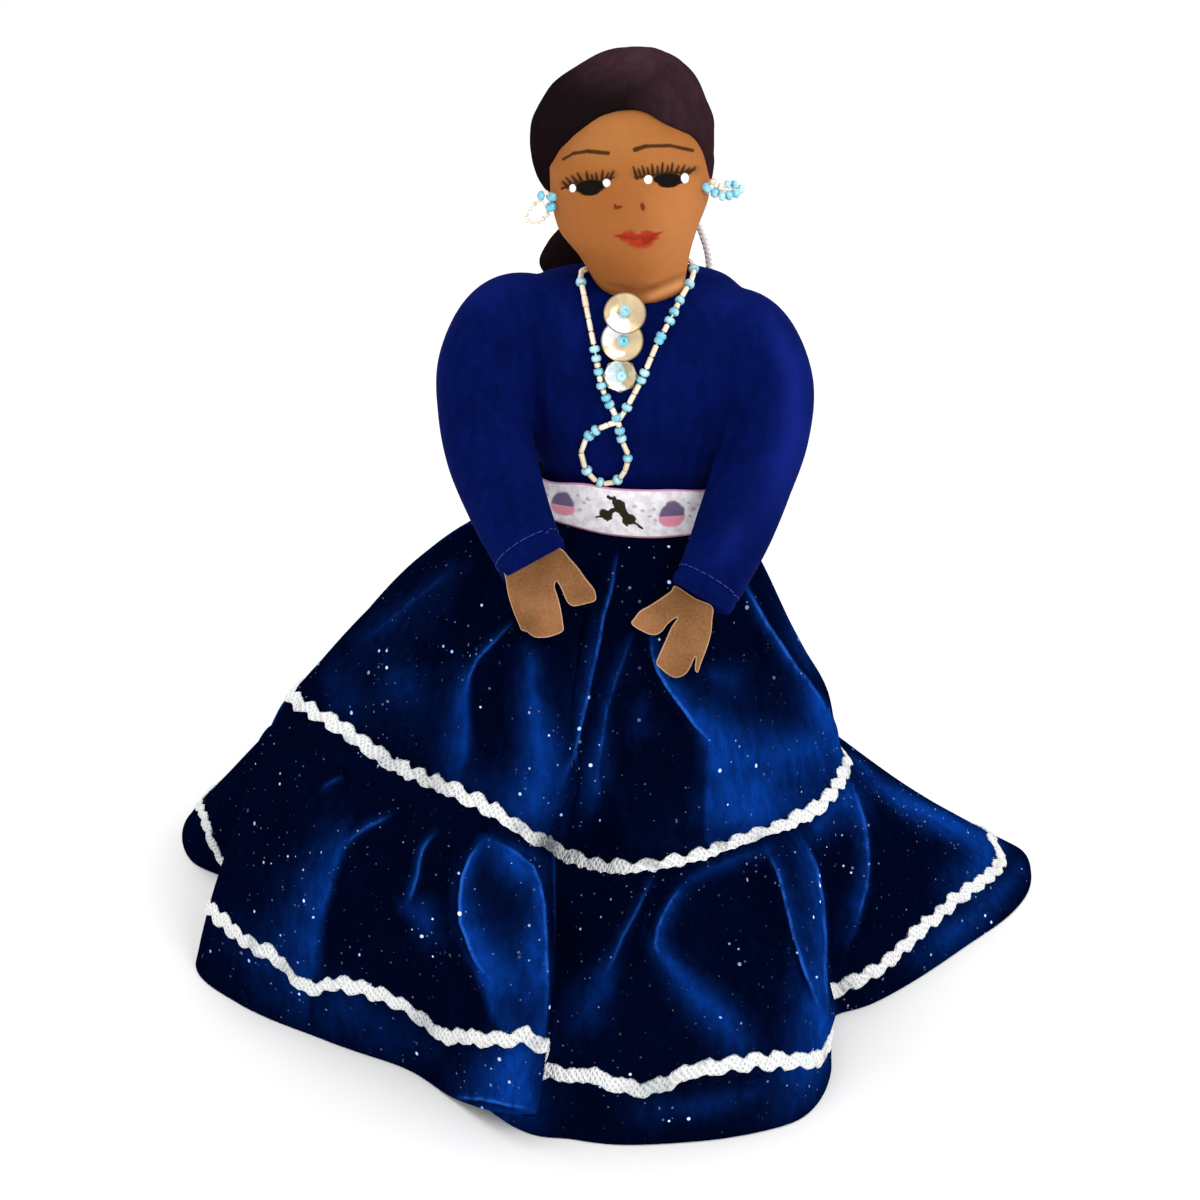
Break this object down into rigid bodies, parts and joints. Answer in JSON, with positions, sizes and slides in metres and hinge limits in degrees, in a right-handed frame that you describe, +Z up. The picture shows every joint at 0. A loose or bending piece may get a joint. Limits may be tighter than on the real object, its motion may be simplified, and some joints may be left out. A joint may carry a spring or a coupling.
{
  "type": "cloth doll",
  "caption": "Standing cloth doll in a dark blue velveteen blouse and a flared two-tier velvet skirt with silver braid, a ribbon belt, a bead necklace and hair in a bun.",
  "frame": {"origin": "middle of the footprint of the whole figure, on the surface it stands on", "axes": "+Z up, the face looks along -Y, the figure's own left hand is on the +X side"},
  "size_m": [0.3128, 0.233, 0.3086],
  "materials": {
    "skin": "matt cotton",
    "hair": "matt",
    "velveteen": "short pile",
    "velvet": "pile with glitter",
    "braid": "metallic thread",
    "ribbon": "satin, printed",
    "felt": "matt",
    "sequin": "metallised",
    "turquoise": "polished",
    "beadwork": "polished",
    "yarn": "matt wool"
  },
  "bodies": {
    "root": {"head": "skin", "hair": "hair", "hair_bun": "hair", "bun_tie": "yarn", "bun_tie_tail": "yarn", "blouse": "velveteen", "right_hand": "felt", "left_hand": "felt", "belt": "ribbon", "skirt_upper_tier": "velvet", "skirt_lower_tier": "velvet", "seam_braid": "braid", "hem_braid": "braid", "necklace": "beadwork", "right_earring": "beadwork", "left_earring": "beadwork", "sequin_1": "sequin", "sequin_bead_1": "turquoise", "sequin_2": "sequin", "sequin_bead_2": "turquoise", "sequin_3": "sequin", "sequin_bead_3": "turquoise"}
  },
  "joints": []
}
